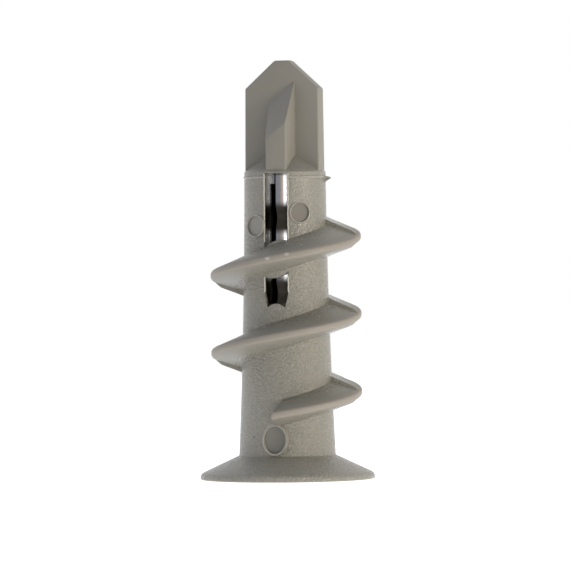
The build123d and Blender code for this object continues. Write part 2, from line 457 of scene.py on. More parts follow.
        dull = node(MATH, polish, lips, operation="SUBTRACT")
        sheen = {"To Min": self.roughness, "To Max": self.polished_roughness}
        finish = {
            "Base Color": colour,
            "Roughness": node(RAMP, dull, inputs=sheen),
            "Normal": node("ShaderNodeBump", inputs=relief),
            "IOR": NYLON_IOR,
        }
        plug(tree, tree.nodes["Principled BSDF"], finish)
        return material


@dataclass(frozen=True)
class TornFlash:
    """Nylon flash, torn where the mould's pin met the core.

    Its paler colour is painted light, standing in for the light that passes
    through flash this thin, and its gloss changes every 0.4 mm or so, with the tears.
    """

    # Painted light: pale colour for light that passes through the thin flash
    colour: str = "#B5AFA3"
    roughness: float = 0.4
    roughness_swing: float = 0.1
    tear_width: float = 0.4

    def material(self) -> Material:
        """Builds the flash's material.

        Returns:
            A node material on Object coordinates.
        """
        material, tree, place = new_material("torn_nylon_flash")
        cloud = add(tree, NOISE, place, inputs={"Scale": 1 / (self.tear_width * MM)})
        low, high = [self.roughness + swing * self.roughness_swing for swing in (-1, 1)]
        uneven = add(tree, RAMP, cloud, inputs={"To Min": low, "To Max": high})
        finish = {"Base Color": linear(self.colour), "Roughness": uneven, "IOR": NYLON_IOR}
        plug(tree, tree.nodes["Principled BSDF"], finish)
        return material


@dataclass(frozen=True)
class BrightZincPlate:
    """Rolled mild steel with bright zinc plate, glossy along its roll.

    Its two pressed waists are painted as dark brown bands with soft edges, a
    painted dark reflection. Beside both of the window's long edges the plate
    is painted palest, as painted reflection with a painted white highlight at
    the right edge, and it is painted greyer and beige in between, as painted
    reflection too. The inside is painted as dark as the waists, as painted
    shade. The plate is a little clouded, so it is less metallic than bare
    metal. Its rolling lines are drawn 0.16 mm apart, because finer ones don't
    show in the render.
    """

    # Painted reflection across X: pale at the left edge, grey and beige between, and a painted
    # white highlight at the right edge
    tones: tuple[tuple[float, str], ...] = (
        (-0.75, "#F2F3F8"),
        (-0.45, "#797A80"),
        (0.15, "#7A7A7F"),
        (0.4, "#A1968C"),
        (0.52, "#BDB1A7"),
        (0.62, "#FFFFFF"),
    )
    # Painted dark reflection of the waists, also used for the painted shade inside
    waist_colour: str = "#332E28"
    # Painted shade: the inside of the sleeve is coloured dark from this radius inwards
    inner_edge: Pair = (2.75, 2.65)
    metallic: float = 0.75
    roughness: float = 0.26
    waist_roughness: float = 0.45
    waist_heights: Pair = (26.08, 18.63)
    waist_edge: Pair = (1.8, 1.0)
    line_width: float = 0.16
    line_depth: float = 0.006
    line_strength: float = 0.5
    line_squeeze: float = 0.03

    def material(self) -> Material:
        """Builds the plated steel's material.

        Returns:
            A node material on Object coordinates.
        """
        material, tree, place = new_material("bright_zinc_plated_steel")
        node = partial(add, tree)
        radius = distance(tree, place, squeeze=(1, 1, 0))
        # Painted shade inside the sleeve
        dark = node(RAMP, radius, inputs=between(*self.inner_edge))
        # Painted dark reflection: a dark band round each pressed waist
        for waist in self.waist_heights:
            away = node(MATH, node(SPLIT, place, output="Z"), waist * MM, operation="SUBTRACT")
            away = node(MATH, away, operation="ABSOLUTE")
            edge = between(*self.waist_edge)
            pressed = node(RAMP, away, inputs=edge, interpolation_type="SMOOTHSTEP")
            dark = node(MATH, dark, pressed, operation="MAXIMUM")

        # Painted reflection and highlight, laid across X as a colour ramp
        first, last = self.tones[0][0], self.tones[-1][0]
        across = node(RAMP, node(SPLIT, place, output="X"), inputs=between(first, last))
        bright = node("ShaderNodeValToRGB", across)
        stops = bright.node.color_ramp.elements
        for x, tone in self.tones[1:-1]:
            stops.new((x - first) / (last - first)).color = linear(tone)
        stops[0].color, stops[-1].color = linear(self.tones[0][1]), linear(self.tones[-1][1])

        drawn_out = node(VECTOR, place, (1, 1, self.line_squeeze), operation="MULTIPLY")
        scale = {"Scale": 1 / (self.line_width * MM), "Detail": 2.0}
        lines = node(NOISE, drawn_out, inputs=scale)
        depth = self.line_depth * MM
        relief = {"Strength": self.line_strength, "Distance": depth, "Height": lines}
        sheen = {"To Min": self.roughness, "To Max": self.waist_roughness}
        pair = {"A": bright, "B": linear(self.waist_colour)}
        finish = {
            "Base Color": node(BLEND, dark, inputs=pair, output="Result", data_type="RGBA"),
            "Roughness": node(RAMP, dark, inputs=sheen),
            "Normal": node("ShaderNodeBump", inputs=relief),
            "Metallic": self.metallic,
        }
        plug(tree, tree.nodes["Principled BSDF"], finish)
        return material


def grown(
    piece: Piece,
    finish: Material,
    sizes: dict[str, float],
    shape: Callable[[Tree, bpy.types.NodeOutputs], Socket],
) -> Piece:
    """Grows a shape on a piece by a Geometry Nodes tree and keeps it as plain mesh.

    Args:
        piece: Piece that is changed.
        finish: Its material.
        sizes: Sizes of the shape, which become the tree's named inputs.
        shape: Adds the shape's nodes to the tree, given the sockets of its inputs.

    Returns:
        The piece.
    """
    values = {"Finish": finish} | sizes
    tree = bpy.data.node_groups.new(piece.name, "GeometryNodeTree")
    kinds = {"Geometry": "Geometry"} | dict.fromkeys(values, "Float") | {"Finish": "Material"}
    for name, kind in kinds.items():
        tree.interface.new_socket(name, in_out="INPUT", socket_type=f"NodeSocket{kind}")
    tree.interface.new_socket("Geometry", in_out="OUTPUT", socket_type="NodeSocketGeometry")
    given = tree.nodes.new("NodeGroupInput").outputs
    real = add(tree, "GeometryNodeRealizeInstances", shape(tree, given))
    real = add(tree, "GeometryNodeSetMaterial", real, inputs={"Material": given["Finish"]})
    plug(tree, tree.nodes.new("NodeGroupOutput"), {"Geometry": real})
    items = [item for item in tree.interface.items_tree if item.in_out == "INPUT"]
    inputs = {item.identifier: values[item.name] for item in items if item.name in values}
    return modified(piece, "NODES", inputs, node_group=tree)


# Arithmetic of the thread: each line adds a Math node, with its result's name, its
# operation and its values
THREAD_SUMS = """
# Outline of the thread, with corners 1 and 2 at the crest, and length of the bar in radians
per_radian = DIVIDE lead tau
half_land = DIVIDE crest_land 2
depth = SUBTRACT crest_radius root_radius
upper_rise = MULTIPLY_ADD depth upper_slope half_land
lower_rise = MULTIPLY_ADD depth lower_slope half_land
under_root = MULTIPLY lower_rise -1
under_land = MULTIPLY half_land -1
at_crest = COMPARE index 1.5 0.6
crest_corner = MULTIPLY at_crest crest_rounding
bar_length = MULTIPLY half_turns pi
bar_points = MULTIPLY_ADD half_turns steps 1

# Place of each point on the bar
radius = MULTIPLY inward -1
rise = MULTIPLY downward -1

# Blunt end: the first eighth of a turn starts on a leaning plane
cut = MULTIPLY_ADD rise end_slope end_offset
cut = DIVIDE cut radius
cut = ARCSINE cut
cut = SUBTRACT cut end_turn
fade = DIVIDE along end_reach
fade = SUBTRACT 1 fade
fade = MAXIMUM fade 0
angle = MULTIPLY_ADD cut fade along

# Angle from the nearest crossing of the parting plane, closed up to make the step
off = FLOORED_MODULO angle pi
off = SUBTRACT off half_pi
near = DIVIDE pi steps
near = MULTIPLY near 0.75
beside = COMPARE off 0 near
closed = SIGN off
closed = MULTIPLY closed parting_gap
moved = SUBTRACT closed off
moved = MULTIPLY moved beside
snapped = ADD off moved
angle = ADD angle moved

# Highest point of the flank on the line along Y through this point
upward = SIGN rise
is_upper = GREATER_THAN rise 0
slope = SUBTRACT upper_slope lower_slope
slope = MULTIPLY_ADD is_upper slope lower_slope
ahead = MULTIPLY snapped upward
reach = COSINE snapped
reach = MULTIPLY radius reach
edge = SUBTRACT crest_radius crest_rounding
steep = MULTIPLY reach slope
steep = DIVIDE per_radian steep
steep = MULTIPLY steep 2
best = MULTIPLY_ADD steep steep 1
best = SQRT best
best = SUBTRACT best 1
best = DIVIDE best steep
best = ARCSINE best
rim = DIVIDE reach edge
rim = MINIMUM rim 1
rim = ARCCOSINE rim
best = MINIMUM best rim
drop = COSINE best
drop = DIVIDE reach drop
drop = SUBTRACT drop edge
drop = MULTIPLY drop slope
top = MULTIPLY_ADD crest_rounding slope half_land
top = MULTIPLY_ADD per_radian best top
top = SUBTRACT top drop
climb = MULTIPLY per_radian ahead
filled = SUBTRACT top climb

# Only flank points between the crossing and that highest point are filled up
height = ABSOLUTE rise
flank = SUBTRACT crest_radius radius
flank = MULTIPLY_ADD flank slope half_land
flank = SUBTRACT flank flank_slack
in_zone = GREATER_THAN ahead 0
test = LESS_THAN ahead best
in_zone = MULTIPLY in_zone test
test = LESS_THAN radius edge
in_zone = MULTIPLY in_zone test
test = GREATER_THAN height flank
in_zone = MULTIPLY in_zone test
gain = MAXIMUM height filled
gain = SUBTRACT gain height
height = MULTIPLY_ADD in_zone gain height

# Wrapped round the axis, from the front towards +X
lift = MULTIPLY_ADD per_radian angle start_height
x = SINE angle
x = MULTIPLY radius x
y = COSINE angle
y = MULTIPLY inward y
z = MULTIPLY_ADD upward height lift
"""


@dataclass
class CoarseThread:
    """Coarse plasterboard thread with a blunt lower end and its release flats.

    A straight bar with the thread's outline is wrapped round the axis. Where
    the two mould halves meet, each fills its undercut of the thread up to the
    highest point on a line along Y.
    """

    lead: float = 7.75
    half_turns: int = 5
    start_height: float = 6.48
    root_radius: float = 3.55
    crest_radius: float = 7.53
    crest_land: float = 0.6
    crest_rounding: float = 0.3
    upper_slope: float = math.tan(math.radians(20.9))
    lower_slope: float = math.tan(math.radians(17.1))
    end_offset: float = 0.67
    end_slope: float = math.tan(math.radians(10.4))
    end_turn: float = math.radians(3.4)
    end_reach: float = math.pi / 4
    steps: int = 61
    corner_cuts: int = 4
    side_cuts: int = 6
    parting_gap: float = 0.002
    flank_slack: float = 0.02
    end_rounding: ClassVar[float] = 0.1
    end_segments: ClassVar[int] = 4
    merge_distance: ClassVar[float] = 0.0005

    def sizes(self) -> dict[str, float]:
        """Gives the tree's sizes by name."""
        return {name: float(size) for name, size in vars(self).items()}

    def shape(self, tree: Tree, given: bpy.types.NodeOutputs) -> Socket:
        """Adds the nodes that wrap the bar round the axis.

        Args:
            tree: Node tree that gets the nodes.
            given: Sockets of the tree's inputs, by name.

        Returns:
            The thread's geometry, in metres.
        """
        node = partial(add, tree)
        point = node(SPLIT, node("GeometryNodeInputPosition")).node.outputs
        known = {"pi": math.pi, "half_pi": math.pi / 2, "tau": math.tau}
        known |= {"along": point["X"], "inward": point["Y"], "downward": point["Z"]}
        known |= {name: given[name] for name in self.sizes()}
        known["index"] = node("GeometryNodeInputIndex")
        for line in THREAD_SUMS.splitlines():
            if "=" in line:
                name, _, operation, *values = line.split()
                values = [known[value] if value in known else float(value) for value in values]
                known[name] = node(MATH, *values, operation=operation)

        # Outline of the thread, radius along X and rise along Y
        radii = [known[f"{place}_radius"] for place in ("root", "crest", "crest", "root")]
        rises = [known[name] for name in ("under_root", "under_land", "half_land", "upper_rise")]
        points = {f"Point {i + 1}": node(COMBINE, radii[i], rises[i]) for i in range(4)}
        outline = node("GeometryNodeCurvePrimitiveQuadrilateral", inputs=points, mode="POINTS")
        fillet = {"Count": known["corner_cuts"], "Radius": known["crest_corner"]}
        outline = node("GeometryNodeFilletCurve", outline, inputs=fillet, mode="POLY")
        outline = node("GeometryNodeSubdivideCurve", outline, known["side_cuts"])

        # Straight bar along X, which is then wrapped
        end = {"End": node(COMBINE, known["bar_length"])}
        rail = node("GeometryNodeCurvePrimitiveLine", inputs=end)
        rail = node("GeometryNodeResampleCurve", rail, inputs={"Count": known["bar_points"]})
        swept = {"Profile Curve": outline, "Fill Caps": True}
        bar = node("GeometryNodeCurveToMesh", rail, inputs=swept)
        wrapped = {"Position": node(COMBINE, known["x"], known["y"], known["z"])}
        thread = node("GeometryNodeSetPosition", bar, inputs=wrapped)
        return node("GeometryNodeTransform", thread, inputs={"Scale": (MM, MM, MM)})

    def build(self, finish: Material) -> Piece:
        """Builds the closed solid of the thread, with its two ends rounded.

        Args:
            finish: Material of the thread.

        Returns:
            The thread as a plain mesh.
        """
        thread = new_piece("coarse_thread", bpy.data.meshes.new("coarse_thread"))
        grown(thread, finish, self.sizes(), self.shape)
        shape = bmesh.new()
        shape.from_mesh(thread.data)
        bmesh.ops.remove_doubles(shape, verts=shape.verts, dist=self.merge_distance * MM)
        bmesh.ops.recalc_face_normals(shape, faces=shape.faces)
        weights = shape.edges.layers.float.new("bevel_weight_edge")
        ends = [face for face in shape.faces if len(face.verts) > 4]
        for edge in [edge for end in ends for edge in end.edges]:
            edge[weights] = 1.0
        shape.to_mesh(thread.data)
        shape.free()
        bevel = {"width": self.end_rounding * MM, "segments": self.end_segments}
        limit = {"limit_method": "WEIGHT", "use_clamp_overlap": False}
        return modified(thread, "BEVEL", **bevel, **limit)


class Join(Enum):
    """How a solid is worked into the moulding."""

    UNION = "UNION"
    DIFFERENCE = "DIFFERENCE"


def worked(body: Piece, join: Join, tool: Piece) -> None:
    """Unites a solid with a body or cuts it out, and removes the solid.

    Args:
        body: Body that is changed.
        join: How the solid is worked in.
        tool: The solid.
    """
    modified(body, "BOOLEAN", operation=join.value, solver="MANIFOLD", object=tool)
    bpy.data.objects.remove(tool)


def finished(piece: Piece, name: str, finish: Material) -> Piece:
    """Names a worked piece, gives it its finish and shades it smooth between sharp edges.

    Args:
        piece: The piece.
        name: Its name.
        finish: Its material.

    Returns:
        The piece.
    """
    piece.name = name
    piece.data.materials.clear()
    piece.data.materials.append(finish)
    piece.data.shade_smooth()
    piece.data.set_sharp_from_angle(angle=SHARP_ANGLE)
    return piece


@dataclass
class TurnedCore:
    """Head flange, tapered core and shoulder cone, turned from one outline."""

    head_radius: float = 8.75
    rim_height: float = 0.56
    foot_radius: float = 0.15
    rim_radius: float = 0.6
    neck_radius: float = 4.84
    neck_height: float = 2.4
    top_radius: float = 4.07
    top_height: float = 30.68
    hollow: float = 0.15
    shoulder_slope: float = math.tan(math.radians(36.5))
    shoulder_rounding: float = 0.12
    neck_rounding: float = 0.2
    segments: int = 256
    side_runs: int = 24
    corner_steps: int = 5

    def radius_at(self, height: float) -> float:
        """Gives the radius of the core's slightly hollow side.

        Args:
            height: Height between the neck and the shoulder.

        Returns:
            The radius there.
        """
        share = (height - self.neck_height) / (self.top_height - self.neck_height)
        straight = self.neck_radius + (self.top_radius - self.neck_radius) * share
        return straight - 4 * self.hollow * share * (1 - share)

    def build(self) -> Piece:
        """Builds the turned solid.

        Returns:
            The solid.
        """
        side = spaced(self.neck_height, self.top_height, self.side_runs)[1:-1]
        corners = [
            (0, 0),
            (self.head_radius, 0),
            (self.head_radius, self.rim_height),
            (self.neck_radius, self.neck_height),
            *[(self.radius_at(height), height) for height in side],
            (self.top_radius, self.top_height),
            (0, self.top_height + self.top_radius * self.shoulder_slope),
        ]
        radii = [0.0] * len(corners)
        radii[1:4] = [self.foot_radius, self.rim_radius, self.neck_rounding]
        radii[-2] = self.shoulder_rounding
        profile = rounded(corners, radii, self.corner_steps, closed=False)
        return turned("moulding", profile, self.segments)


@dataclass
class CrossTip:
    """Flat drill blade with a roof-shaped point and a cut-off rib on each face."""

    base_height: float = 30.68
    tip_height: float = 41.83
    half_width: float = 3.85
    half_thickness: float = 1.18
    side_draft: float = math.tan(math.radians(0.4))
    face_draft: float = math.tan(math.radians(2.5))
    bevel_slope: float = math.tan(math.radians(42.7))
    apex_half_width: float = 0.72
    corner_rounding: float = 0.25
    corner_steps: int = 4
    edge_rounding: float = 0.1
    edge_segments: int = 3
    edge_angle: float = math.radians(25)
    rib_front_width: float = 2.05
    rib_root_width: float = 2.7
    rib_root_depth: float = 0.1
    rib_sunk: float = 0.3
    rib_reach: float = 3.82
    rib_cut_drop: float = 2.1
    rib_side_slope: float = math.tan(math.radians(39.0))
    rib_front_slope: float = math.tan(math.radians(55.9))

    def soften(self, piece: Piece) -> Piece:
        """Rounds a piece's sharp edges with the mould's small radius."""
        bevel = {"width": self.edge_rounding * MM, "segments": self.edge_segments}
        return modified(piece, "BEVEL", **bevel, limit_method="ANGLE", angle_limit=self.edge_angle)

    def build_blade(self) -> Piece:
        """Builds the blade, drafted from the parting plane both ways.

        Returns:
            The blade.
        """
        shoulder = self.half_width - (self.tip_height - self.base_height) * self.side_draft
        bevel_height = self.tip_height - (shoulder - self.apex_half_width) * self.bevel_slope
        sections = []
        for side in (-1, 0, 1):
            inset = abs(side) * self.half_thickness * self.face_draft
            corners = [
                (-self.half_width + inset, self.base_height),
                (self.half_width - inset, self.base_height),
                (shoulder - inset, bevel_height - inset / 2),
                (self.apex_half_width - inset / 2, self.tip_height - inset),
                (-self.apex_half_width + inset / 2, self.tip_height - inset),
                (-shoulder + inset, bevel_height - inset / 2),
            ]
            radii = [0.0, 0.0] + [self.corner_rounding] * 4
            outline = rounded(corners, radii, self.corner_steps)
            sections.append([(x, side * self.half_thickness, z) for x, z in outline])
        return self.soften(solid("blade", loft(sections)))

    def build_rib(self, turn: float) -> Piece:
        """Builds a rib, cut off by one plane that leans back and to the side.

        Args:
            turn: Angle from the front, in radians.

        Returns:
            The rib.
        """
        front, root, face = self.rib_front_width / 2, self.rib_root_width / 2, -self.half_thickness
        outline = [(-front, -self.rib_reach), (front, -self.rib_reach)]
        outline += [(root, face), (root, face + self.rib_root_depth)]
        outline += [(-root, face + self.rib_root_depth), (-root, face)]
        heights = (self.base_height - self.rib_sunk, self.tip_height)
        shape = loft([[(x, y, z) for x, y in outline] for z in heights])
        cut = bmesh.ops.bisect_plane(
            shape,
            geom=[*shape.verts, *shape.edges, *shape.faces],
            plane_co=(root, face, self.tip_height - self.rib_cut_drop),
            plane_no=(-self.rib_side_slope, -self.rib_front_slope, 1),
            clear_outer=True,
        )
        rim = [item for item in cut["geom_cut"] if isinstance(item, bmesh.types.BMEdge)]
        bmesh.ops.contextual_create(shape, geom=rim)
        spin = Matrix.Rotation(turn, 3, "Z")
        bmesh.ops.rotate(shape, verts=shape.verts, cent=(0, 0, 0), matrix=spin)
        return self.soften(solid("rib", shape))


@dataclass
class EjectorMark:
    """Flat disc sunk in the core, inside a thin raised lip of flash.

    The lip swells towards one side. The finish is centred on the core's
    surface, between the disc and the top of the lip. The disc's face is
    painted with its own shade.
    """

    turn: float
    height: float
    half_width: float
    half_height: float
    lip_width: float
    lip_height: float
    # Painted shade of the disc's face, darker or lighter for each disc
    face_colour: str
    lip_swell: float = 0.25
    swell_turn: float = math.radians(-40)
    finish_depth: float = 4.2
    root_depth: float = 0.7
    cutter_reach: float = 1.5
    segments: int = 72
    rounding_runs: int = 6

    def frame(self, depth: float) -> Matrix:
        """Gives the frame of the mark: X across, Y up and Z outwards, at a depth."""
        facing = Matrix.Translation((0, -depth, self.height)) @ Matrix.Rotation(math.pi / 2, 4, "X")
        return Matrix.Rotation(self.turn, 4, "Z") @ facing

    def centre(self) -> Vector:
        """Gives the point that the finish is centred on."""
        return self.frame(self.finish_depth).translation

    def face_depth(self, core: TurnedCore) -> float:
        """Gives the distance of the disc's face from the axis."""
        return math.sqrt(core.radius_at(self.height) ** 2 - self.half_width**2)

    def rim(self, around: float, out: float = 0.0, up: float = 0.0) -> Vector:
        """Gives a point beside the disc's rim.

        Args:
            around: Angle round the disc, in radians.
            out: Distance outwards from the rim.
            up: Distance from the disc's face.

        Returns:
            The point, in the mark's own frame.
        """
        width, height = self.half_width + out, self.half_height + out
        return Vector((width * math.cos(around), height * math.sin(around), up))

    def build_lip(self, core: TurnedCore) -> Piece:
        """Builds the lip, a ring with a rounded top that is rooted in the core.

        Args:
            core: Core that the mark is on.

        Returns:
            The lip.
        """
        half = self.lip_width / 2
        top = [
            (half + half * math.cos(turn), self.lip_height - half + half * math.sin(turn))
            for turn in spaced(0, math.pi, self.rounding_runs)
        ]
        outline = [(self.lip_width, -self.root_depth), *top, (0.0, -self.root_depth)]
        frame_here = self.frame(self.face_depth(core))
        sections = []
        for around in spaced(0, math.tau, self.segments)[:-1]:
            swell = 1 + self.lip_swell * math.cos(around - self.swell_turn)
            swollen = [(out * swell, up * swell if up > 0 else up) for out, up in outline]
            sections.append([frame_here @ self.rim(around, out, up) for out, up in swollen])
        return solid("lip", loft(sections, closed=True))

    def build_disc(self, core: TurnedCore) -> Piece:
        """Builds the cutter that sinks the flat disc.

        Args:
            core: Core that the mark is on.

        Returns:
            The cutter.
        """
        depth = self.face_depth(core)
        frames = [self.frame(depth), self.frame(depth + self.cutter_reach)]
        around = spaced(0, math.tau, self.segments)[:-1]
        sections = [[place @ self.rim(turn) for turn in around] for place in frames]
        return solid("disc", loft(sections))


@dataclass
class Window:
    """Opening over the sleeve, with ends that bulge into it and a left side that leans."""

    bottom: float
    top: float
    foot_half_width: float
    half_width: float = 1.25
    left_inset: float = 0.08
    left_lean: float = 0.144
    surface: float = -3.95
    cutter_ends: Pair = (-1.2, -5.2)
    toe_length: float = 1.5
    foot_bulge: float = 0.38
    head_bulge: float = 0.38
    foot_slope: float = 0.0
    head_slope: float = 0.0
    arc_runs: int = 10

    def build(self) -> Piece:
        """Builds the cutter of the opening.

        Returns:
            The cutter.
        """
        arc = [(x, 1 - x * x) for x in spaced(-1, 1, self.arc_runs)]
        foot = [
            (x * self.foot_half_width, self.bottom + self.foot_bulge * swell + self.foot_slope * x)
            for x, swell in arc
        ]
        head = [
            (-x * self.half_width, self.top - self.head_bulge * swell - self.head_slope * x)
            for x, swell in arc
        ]
        toe = self.bottom + self.toe_length
        outline = [*foot, (self.half_width, toe), *head, (-self.half_width, toe)]
        sections = []
        for y in self.cutter_ends:
            shift = self.left_lean * (y - self.surface) - self.left_inset
            stretch = 1 + shift / self.half_width
            sections.append([(x * stretch if x < 0 else x, y, z) for x, z in outline])
        return solid("window", loft(sections))


@dataclass
class WindowFlash:
    """Thin ragged flash along a window's long sides, where the mould's pin met the core."""

    window: Window
    ends: Pair
    thickness: float = 0.07
    raggedness: float = 0.12
    rag_length: float = 0.5
    seed: float = 4.0
    step: float = 0.1
    edge_runs: int = 12
    facets: int = 10

    def sizes(self) -> dict[str, float]:
        """Gives the tree's sizes by name, in metres."""
        names = ("thickness", "raggedness", "step", "rag_length")
        return {name: getattr(self, name) * MM for name in names} | {"seed": self.seed}

    def edge(self, core: TurnedCore) -> bpy.types.Mesh:
        """Draws the window's two long edges on the core.

        Args:
            core: Core that the window is cut in.

        Returns:
            A mesh of two lines, in metres.
        """
        points = [
            Vector((x, -math.sqrt(core.radius_at(z) ** 2 - x * x), z)) * MM
            for x in (self.window.left_inset - self.window.half_width, self.window.half_width)
            for z in spaced(*self.ends, self.edge_runs)
        ]
        lines = [(i, i + 1) for i in range(2 * self.edge_runs + 1) if i != self.edge_runs]
        mesh = bpy.data.meshes.new("window_edge")
        mesh.from_pydata(points, lines, [])
        return mesh

    def shape(self, tree: Tree, given: bpy.types.NodeOutputs) -> Socket:
        """Adds the nodes that grow the flash along the edges.

        Args:
            tree: Node tree that gets the nodes.
            given: Sockets of the tree's inputs, by name.

        Returns:
            The flash's geometry, in metres.
        """
        node = partial(add, tree)
        path = node("GeometryNodeMeshToCurve", given["Geometry"])
        length = {"Length": given["step"]}
        path = node("GeometryNodeResampleCurve", path, inputs=length, mode="LENGTH")
        scale = node(MATH, 1, given["rag_length"], operation="DIVIDE")
        rag = {"W": given["seed"], "Scale": scale, "Detail": 2.0}
        rag = node(NOISE, inputs=rag, output="Color", noise_dimensions="4D")
        shift = node(VECTOR, rag, (0.5, 0.5, 0.5), operation="SUBTRACT")
        shift = node(VECTOR, shift, inputs={"Scale": given["raggedness"]}, operation="SCALE")
        path = node("GeometryNodeSetPosition", path, inputs={"Offset": shift})
        section = {"Resolution": self.facets, "Radius": given["thickness"]}
        section = node("GeometryNodeCurvePrimitiveCircle", inputs=section)
        swept = {"Profile Curve": section, "Fill Caps": True}
        return node("GeometryNodeCurveToMesh", path, inputs=swept)

    def build(self, name: str, core: TurnedCore, finish: Material) -> Piece:
        """Builds the flash.

        Args:
            name: Name of the piece.
            core: Core that the window is cut in.
            finish: Material of the flash.

        Returns:
            The flash as a plain mesh.
        """
        flash = grown(new_piece(name, self.edge(core)), finish, self.sizes(), self.shape)
        flash.data.shade_smooth()
        return flash


@dataclass
class RolledSleeve:
    """Steel sleeve rolled from strip, with two waists, a slit and a tab."""

    radius: float = 3.0
    wall: float = 0.4
    bottom: float = 14.0
    top: float = 30.51
    end_rounding: float = 0.03
    waist_heights: Pair = (18.63, 26.08)
    waist_length: float = 2.6
    waist_depth: float = 0.3
    slit_turn: float = math.radians(-10.2)
    slit_width: float = 0.64
    slit_ends: Pair = (-1.0, -5.0)
    tab_height: float = 1.03
    tab_gap: float = 0.14
    segments: int = 192
    runs: int = 120

    def pressed(self, height: float) -> float:
        """Gives the depth that the waists are pressed in.

        Args:
            height: Height on the sleeve.

        Returns:
            The depth there.
        """
        away = min(abs(height - waist) for waist in self.waist_heights)
        share = min(away / (self.waist_length / 2), 1.0)
        return self.waist_depth * (0.5 + 0.5 * math.cos(math.pi * share))

    def build(self, finish: Material) -> Piece:
        """Builds the sleeve as one closed solid.

        Args:
            finish: Material of the sleeve.

        Returns:
            The sleeve.
        """
        heights = spaced(self.bottom, self.top, self.runs)
        below, above = self.bottom - OVERSHOOT, self.top + OVERSHOOT
        outer = [(self.radius - self.pressed(z), z) for z in heights]
        inner = [(radius - self.wall, z) for radius, z in outer]
        outer[0] = (self.radius - self.end_rounding, self.bottom)
        outer[-1] = (self.radius - self.end_rounding, self.top)
        inner[0], inner[-1] = (inner[0][0], below), (inner[-1][0], above)
        tube = turned("sleeve", [(0, self.bottom), *outer, (0, self.top)], self.segments)
        cutters = [turned("hole", [(0, below), *inner, (0, above)], self.segments)]
        spin = Matrix.Rotation(self.slit_turn, 4, "Z")
        half = self.slit_width / 2
        for left, end in ((-half, self.top - self.tab_height), (half - self.tab_gap, above)):
            corners = oblong(left, half, below, end)
            sections = [[spin @ Vector((x, y, z)) for x, z in corners] for y in self.slit_ends]
            cutters.append(solid("slit", loft(sections)))
        for cutter in cutters:
            worked(tube, Join.DIFFERENCE, cutter)
        return finished(tube, "rolled_sleeve", finish)


@dataclass
class Moulding:
    """The one-piece nylon moulding, worked up from its solids."""

    core: TurnedCore
    thread: CoarseThread
    tip: CrossTip
    marks: list[EjectorMark]
    windows: list[Window]
    pocket_radius: float = 3.02
    pocket_bottom: float = 14.0
    pocket_top: float = 30.53
    pocket_segments: int = 128
    bore_radius: float = 2.25
    recess_half_span: float = 3.6
    recess_depth: float = 7.6
    recess_half_width: float = 0.85
    recess_foot: float = 1.95
    seam_height: float = 30.13
    seam_bead: float = 0.1
    seam_runs: int = 6
    nib_inner: float = 3.9
    nib_outer: float = 4.77
    nib_heights: tuple[float, float, float] = (30.33, 30.03, 29.48)
    nib_blunting: Pair = (0.12, 0.1)
    nib_half_thickness: float = 0.15

    def cutters(self) -> list[Piece]:
        """Builds the solids that are cut out: windows, pocket, bore and cross recess.

        Returns:
            The cutters.
        """
        profile = [
            (0, -OVERSHOOT),
            (self.bore_radius, -OVERSHOOT),
            (self.bore_radius, self.pocket_bottom),
            (self.pocket_radius, self.pocket_bottom),
            (self.pocket_radius, self.pocket_top),
            (0, self.pocket_top),
        ]
        cutters = [window.build() for window in self.windows]
        cutters.append(turned("pocket", profile, self.pocket_segments))
        flare = (self.recess_half_span - self.recess_foot) / self.recess_depth
        half = self.recess_half_width
        for turn in (0.0, math.pi / 2):
            spin = Matrix.Rotation(turn, 3, "Z")
            sections = []
            for z in (-OVERSHOOT, self.recess_depth):
                reach = self.recess_half_span - flare * z
                corners = oblong(-reach, reach, -half, half)
                sections.append([spin @ Vector((x, y, z)) for x, y in corners])
            cutters.append(solid("wing", loft(sections)))
        return cutters

    def build_seam(self) -> Piece:
        """Builds the thin bead where the tip's mould insert met the core's.

        Returns:
            The bead, filled to the axis.
        """
        radius, bead = self.core.radius_at(self.seam_height), self.seam_bead
        profile = [
            (radius + bead * math.sin(turn), self.seam_height - bead * math.cos(turn))
            for turn in spaced(0, math.pi, self.seam_runs)
        ]
        profile = [(0, profile[0][1]), *profile, (0, profile[-1][1])]
        return turned("seam", profile, self.core.segments)

    def build_nib(self) -> Piece:
        """Builds the torn nib of flash on the parting line, beside the seam.

        Returns:
            The nib.
        """
        top, point, bottom = self.nib_heights
        back, up = self.nib_blunting
        outline = [(self.nib_inner, bottom), (self.nib_outer, point)]
        outline += [(self.nib_outer - back, point + up), (self.nib_inner, top)]
        ends = (-self.nib_half_thickness, self.nib_half_thickness)
        return self.tip.soften(solid("nib", loft([[(x, y, z) for x, z in outline] for y in ends])))

    def build(self, finish: Material) -> Piece:
        """Unites the solids and cuts the openings.

        Args:
            finish: Material of the moulding.

        Returns:
            The finished moulding.
        """
        body = self.core.build()
        united = [self.thread.build(finish), self.tip.build_blade()]
        united += [self.tip.build_rib(turn) for turn in (0.0, math.pi)]
        united += [self.build_seam(), self.build_nib()]
        united += [mark.build_lip(self.core) for mark in self.marks]
        cut = [mark.build_disc(self.core) for mark in self.marks] + self.cutters()
        for join, tools in ((Join.UNION, united), (Join.DIFFERENCE, cut)):
            for tool in tools:
                worked(body, join, tool)
        return finished(body, "nylon_moulding", finish)


class Side(Enum):
    """Which side of the anchor a softbox stands on, as the camera sees it."""

    LEFT = -1
    FRONT = 0
    RIGHT = 1


